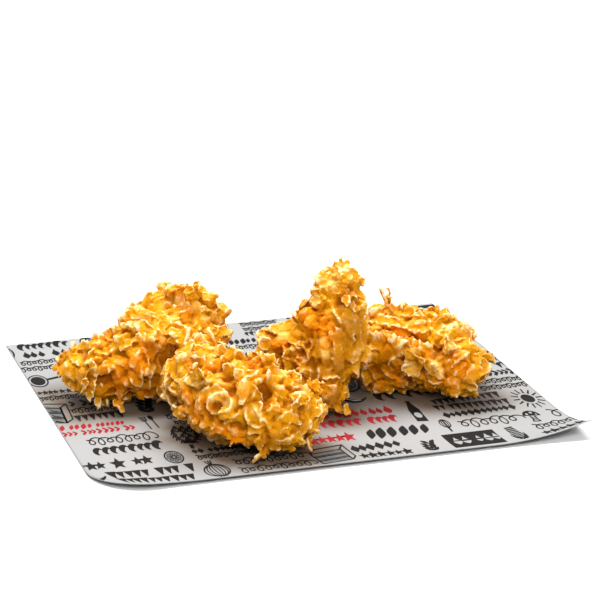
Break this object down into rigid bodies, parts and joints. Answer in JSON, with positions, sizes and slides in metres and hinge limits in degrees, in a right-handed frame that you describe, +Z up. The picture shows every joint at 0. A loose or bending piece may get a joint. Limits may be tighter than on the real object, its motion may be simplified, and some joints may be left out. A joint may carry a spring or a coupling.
{
  "type": "fried chicken wings",
  "caption": "Breaded, deep-fried chicken wings with a craggy golden crust, lying in a loose group on a thin sheet of printed greaseproof serving paper.",
  "frame": {"origin": "middle of the underside of the serving paper, on the table", "axes": "+X along the paper's long side to the right, +Y away from the front edge, +Z up"},
  "size_m": [0.24, 0.216, 0.073],
  "materials": {
    "paper": "thin greaseproof paper, pale grey with a black, grey and red print",
    "crust": "deep-fried batter crust, golden brown, craggy and slightly oily"
  },
  "bodies": {
    "root": {"paper_liner": "paper", "wing_left": "crust", "wing_front": "crust", "wing_upright": "crust", "wing_right": "crust"}
  },
  "joints": []
}
